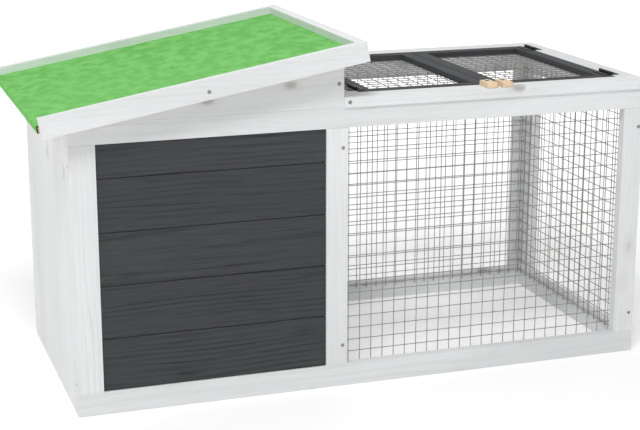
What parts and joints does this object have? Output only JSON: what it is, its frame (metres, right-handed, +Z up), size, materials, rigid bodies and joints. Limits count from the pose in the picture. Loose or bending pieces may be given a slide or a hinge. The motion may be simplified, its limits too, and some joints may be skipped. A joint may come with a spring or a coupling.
{
  "type": "rabbit hutch",
  "caption": "Low wooden rabbit hutch: clad sleeping box under a sloping felted roof that lifts, beside a wire mesh run with hinged mesh doors in its top held by turn buttons",
  "frame": {"origin": "middle of the overall box at ground level: half way between the low eave and the end of the run, half way between front and back, on the face the hutch stands on", "axes": "+X from the sleeping box to the run (longest), +Y from the front with the turn buttons to the back (shortest), +Z up"},
  "size_m": [1.0204, 0.49, 0.5704],
  "materials": {
    "white_timber": "thin white paint on softwood, grain and knots showing through",
    "wall_panel": "white painted thin plywood",
    "dark_timber": "dark grey stain on softwood, grain showing",
    "bare_timber": "bare planed softwood",
    "floor_board": "bare plywood",
    "roof_felt": "bitumen roofing felt with green mineral chips",
    "mesh_wire": "galvanised welded wire",
    "hinge_steel": "black butt hinges, satin",
    "screw_steel": "zinc plated countersunk screws"
  },
  "bodies": {
    "body": {"front_bottom_rail": "white_timber", "front_top_rail": "white_timber", "front_left_stile": "white_timber", "front_mid_post": "white_timber", "front_right_stile": "white_timber", "front_plank_1": "dark_timber", "front_plank_2": "dark_timber", "front_plank_3": "dark_timber", "front_plank_4": "dark_timber", "front_plank_5": "dark_timber", "front_gable": "white_timber", "back_gable": "white_timber", "high_end_wall": "white_timber", "low_end_wall": "wall_panel", "partition_wall": "white_timber", "floor_panel": "floor_board", "floor_battens": "bare_timber", "back_bottom_rail": "white_timber", "back_top_rail": "white_timber", "back_left_stile": "white_timber", "back_mid_post": "white_timber", "back_right_stile": "white_timber", "back_planks": "dark_timber", "side_bottom_rail": "white_timber", "side_top_rail": "white_timber", "side_front_stile": "white_timber", "side_back_stile": "white_timber", "front_mesh": "mesh_wire", "back_mesh": "mesh_wire", "side_mesh": "mesh_wire", "top_front_board": "white_timber", "top_back_board": "white_timber", "top_left_board": "white_timber", "top_right_board": "white_timber", "door_rest_blocks": "bare_timber", "frame_hinge_leaves": "hinge_steel", "door_hinge_pins": "hinge_steel", "turn_button_screws": "screw_steel", "roof_hinge_wall_leaves": "hinge_steel", "roof_hinge_pins": "hinge_steel", "frame_screws": "screw_steel", "wall_screws": "screw_steel"},
    "roof": {"roof_deck": "bare_timber", "roof_felt": "roof_felt", "front_fascia": "white_timber", "back_fascia": "white_timber", "high_fascia": "white_timber", "roof_hinge_deck_leaves": "hinge_steel", "roof_screws": "screw_steel"},
    "left_door": {"left_door_long_rails": "dark_timber", "left_door_end_rails": "dark_timber", "left_door_mesh": "mesh_wire", "left_door_hinge_leaves": "hinge_steel"},
    "right_door": {"right_door_long_rails": "dark_timber", "right_door_end_rails": "dark_timber", "right_door_mesh": "mesh_wire", "right_door_hinge_leaves": "hinge_steel"},
    "left_button": {"left_turn_button": "bare_timber"},
    "right_button": {"right_turn_button": "bare_timber"}
  },
  "joints": [
    {"name": "roof_hinge", "type": "hinge", "parent": "body", "child": "roof", "pos_m": [-0.46592, 0, 0.46061], "axis": [0, -1, 0], "range_deg": [0, 84]},
    {"name": "left_door_hinge", "type": "hinge", "parent": "body", "child": "left_door", "pos_m": [0.01192, 0, 0.4831], "axis": [0, -1, 0], "range_deg": [0, 92]},
    {"name": "right_door_hinge", "type": "hinge", "parent": "body", "child": "right_door", "pos_m": [0.47142, 0, 0.4831], "axis": [0, 1, 0], "range_deg": [0, 180]},
    {"name": "left_button_pivot", "type": "hinge", "parent": "body", "child": "left_button", "pos_m": [0.22807, -0.1927, 0.4803], "axis": [0, 0, -1], "range_deg": [0, 180]},
    {"name": "right_button_pivot", "type": "hinge", "parent": "body", "child": "right_button", "pos_m": [0.25527, -0.1927, 0.4803], "axis": [0, 0, 1], "range_deg": [0, 180]}
  ]
}
